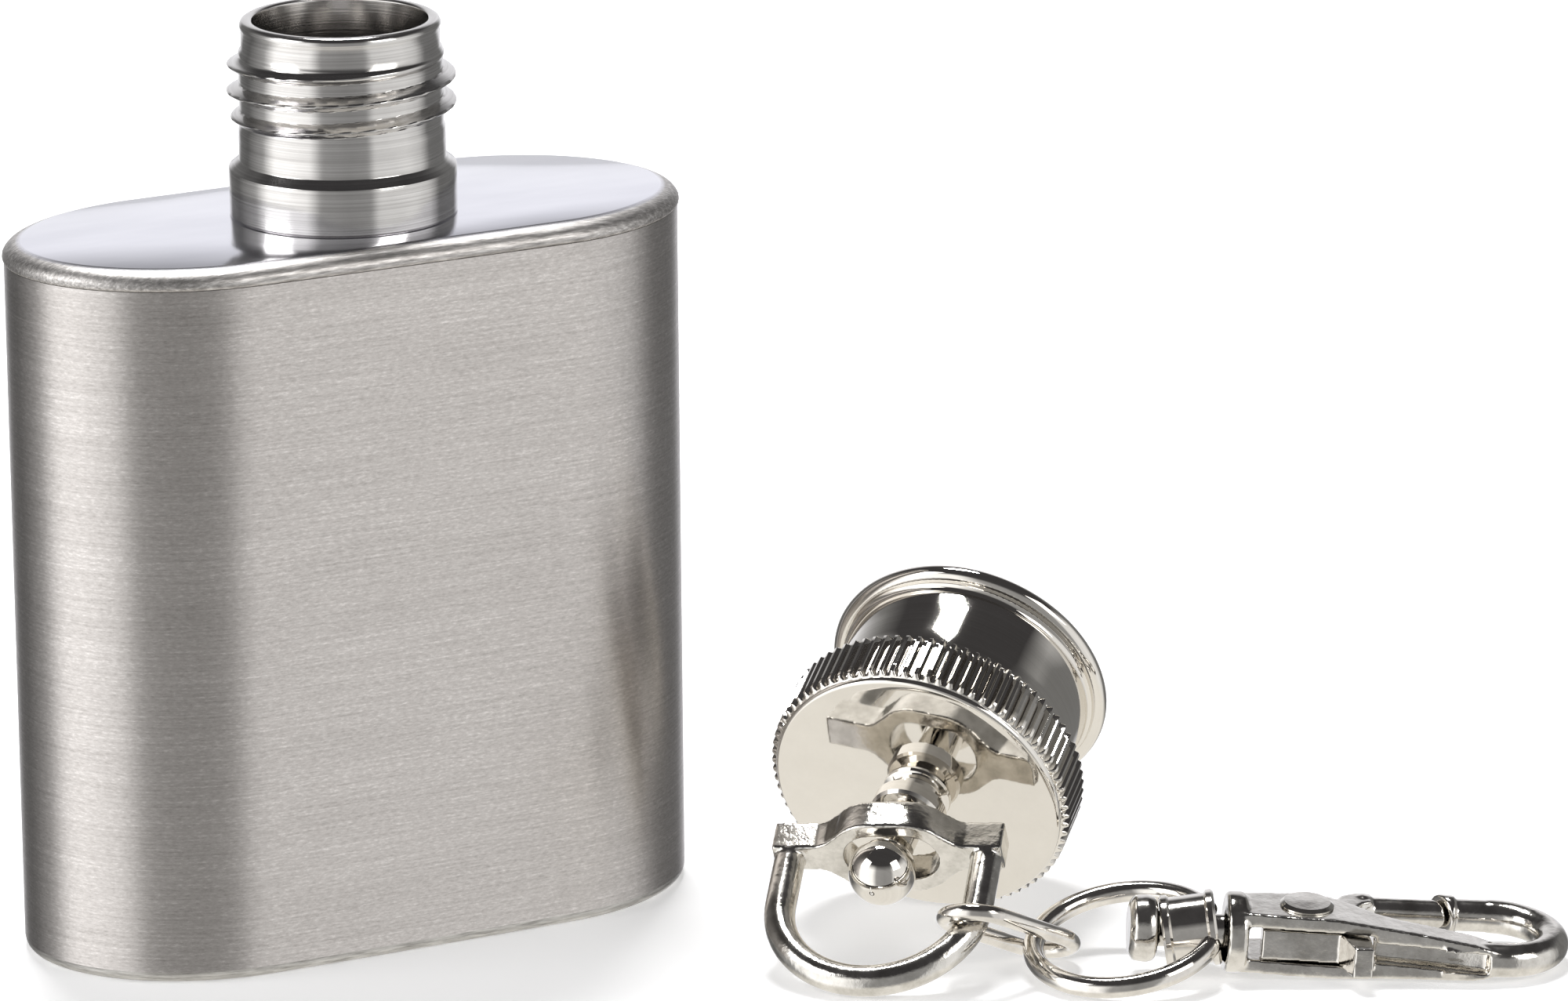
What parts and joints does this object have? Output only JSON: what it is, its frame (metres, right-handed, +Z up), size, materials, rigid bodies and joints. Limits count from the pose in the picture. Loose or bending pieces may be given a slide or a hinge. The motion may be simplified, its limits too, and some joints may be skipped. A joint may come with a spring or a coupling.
{
  "type": "hip flask",
  "caption": "Small stainless steel hip flask with a threaded spout and a knurled screw cap on a swivel ring, chain link and trigger snap hook.",
  "frame": {"origin": "middle of the base's flat underside, on the surface the flask stands on", "axes": "+X along the flask's wide side, +Y through the flask away from the cap, +Z up along the spout"},
  "size_m": [0.0812, 0.0575, 0.0559],
  "materials": {
    "brushed_steel": "fine horizontal brushing with a sparkly grain",
    "mirror_plate": "polished flat with a ground, scratched rim",
    "ground_base": "ground edge",
    "turned_steel": "fine turning lines",
    "cap_plating": "nickel plated, bright turned surfaces",
    "ring_plating": "nickel plated casting, soft sheen",
    "hook_plating": "nickel plated casting, soft sheen",
    "spring_steel": "bare spring wire",
    "gasket": "matt sealing disc"
  },
  "bodies": {
    "flask": {"body_wall": "brushed_steel", "top_plate": "mirror_plate", "base_plate": "ground_base", "spout": "turned_steel"},
    "swivel": {"swivel_ring": "ring_plating"},
    "cap": {"cap_shell": "cap_plating", "cap_gasket": "gasket", "swivel_post": "cap_plating", "post_washer": "spring_steel"},
    "link": {"chain_link": "ring_plating"},
    "ring": {"hook_ring": "ring_plating"},
    "hook": {"hook_body": "hook_plating", "lever_rivet": "hook_plating", "lever_spring": "spring_steel"},
    "lever": {"hook_lever": "hook_plating"}
  },
  "joints": [
    {"name": "tether_lift", "type": "slide", "parent": "flask", "child": "swivel", "axis": [0, 0, 1], "range_m": [0, 0.04]},
    {"name": "cap_swivel", "type": "hinge", "parent": "swivel", "child": "cap", "pos_m": [0.02807, -0.02019, 0.0084], "axis": [-0.6743, -0.6119, -0.4134], "continuous": true},
    {"name": "link_hinge", "type": "hinge", "parent": "swivel", "child": "link", "pos_m": [0.02524, -0.03139, 0.00328], "axis": [-0.7787, -0.3969, -0.486], "range_deg": [0, 30]},
    {"name": "ring_hinge", "type": "hinge", "parent": "link", "child": "ring", "pos_m": [0.03142, -0.02952, 0.00195], "axis": [-0.4495, -0.8685, -0.2091], "range_deg": [0, 40]},
    {"name": "hook_swivel", "type": "hinge", "parent": "ring", "child": "hook", "pos_m": [0.03809, -0.0359, 0.00269], "axis": [0.9048, -0.4204, -0.0687], "continuous": true},
    {"name": "lever_hinge", "type": "hinge", "parent": "hook", "child": "lever", "pos_m": [0.04431, -0.03879, 0.00222], "axis": [-0.0328, 0.0921, -0.9952], "range_deg": [0, 22], "stiffness_Nm_per_rad": 0.01, "springref_deg": -20.05, "deforming": ["lever_spring"]}
  ]
}
